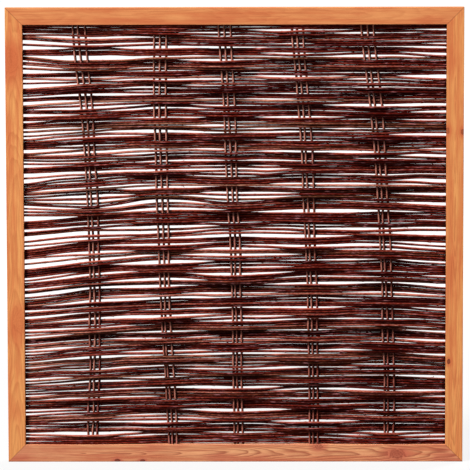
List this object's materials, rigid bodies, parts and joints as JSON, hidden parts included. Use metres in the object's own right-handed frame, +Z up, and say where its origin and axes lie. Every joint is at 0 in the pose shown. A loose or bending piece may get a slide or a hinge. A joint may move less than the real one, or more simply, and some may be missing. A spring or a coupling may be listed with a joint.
{
  "type": "woven willow hurdle",
  "caption": "Square garden fence panel: dark willow rods woven round groups of upright stakes and clamped in a stained softwood frame with mitred corners.",
  "frame": {"origin": "on the ground, under the middle of the panel", "axes": "+Z up, +X to the right seen from the front, -Y out of the front face"},
  "size_m": [1.8, 0.0466, 1.8],
  "materials": {
    "stained_softwood": "matte stain",
    "willow_rod": "natural bark",
    "willow_stake": "natural bark",
    "screw_steel": "zinc plated"
  },
  "bodies": {
    "root": {"front_bottom_rail": "stained_softwood", "front_top_rail": "stained_softwood", "front_left_stile": "stained_softwood", "front_right_stile": "stained_softwood", "rear_bottom_rail": "stained_softwood", "rear_top_rail": "stained_softwood", "rear_left_stile": "stained_softwood", "rear_right_stile": "stained_softwood", "stake_1_left": "willow_stake", "stake_1_middle": "willow_stake", "stake_1_right": "willow_stake", "stake_2_left": "willow_stake", "stake_2_middle": "willow_stake", "stake_2_right": "willow_stake", "stake_3_left": "willow_stake", "stake_3_middle": "willow_stake", "stake_3_right": "willow_stake", "stake_4_left": "willow_stake", "stake_4_middle": "willow_stake", "stake_4_right": "willow_stake", "stake_5_left": "willow_stake", "stake_5_middle": "willow_stake", "stake_5_right": "willow_stake", "weaver_band_01": "willow_rod", "weaver_band_02": "willow_rod", "weaver_band_03": "willow_rod", "weaver_band_04": "willow_rod", "weaver_band_05": "willow_rod", "weaver_band_06": "willow_rod", "weaver_band_07": "willow_rod", "weaver_band_08": "willow_rod", "weaver_band_09": "willow_rod", "weaver_band_10": "willow_rod", "weaver_band_11": "willow_rod", "weaver_band_12": "willow_rod", "weaver_band_13": "willow_rod", "weaver_band_14": "willow_rod", "weaver_band_15": "willow_rod", "weaver_band_16": "willow_rod", "weaver_band_17": "willow_rod", "weaver_band_18": "willow_rod", "weaver_band_19": "willow_rod", "weaver_band_20": "willow_rod", "weaver_band_21": "willow_rod", "weaver_band_22": "willow_rod", "weaver_band_23": "willow_rod", "weaver_band_24": "willow_rod", "weaver_band_25": "willow_rod", "weaver_band_26": "willow_rod", "weaver_band_27": "willow_rod", "weaver_band_28": "willow_rod", "weaver_band_29": "willow_rod", "weaver_band_30": "willow_rod", "weaver_band_31": "willow_rod", "weaver_band_32": "willow_rod", "weaver_band_33": "willow_rod", "weaver_band_34": "willow_rod", "weaver_band_35": "willow_rod", "weaver_band_36": "willow_rod", "frame_screws": "screw_steel"}
  },
  "joints": []
}
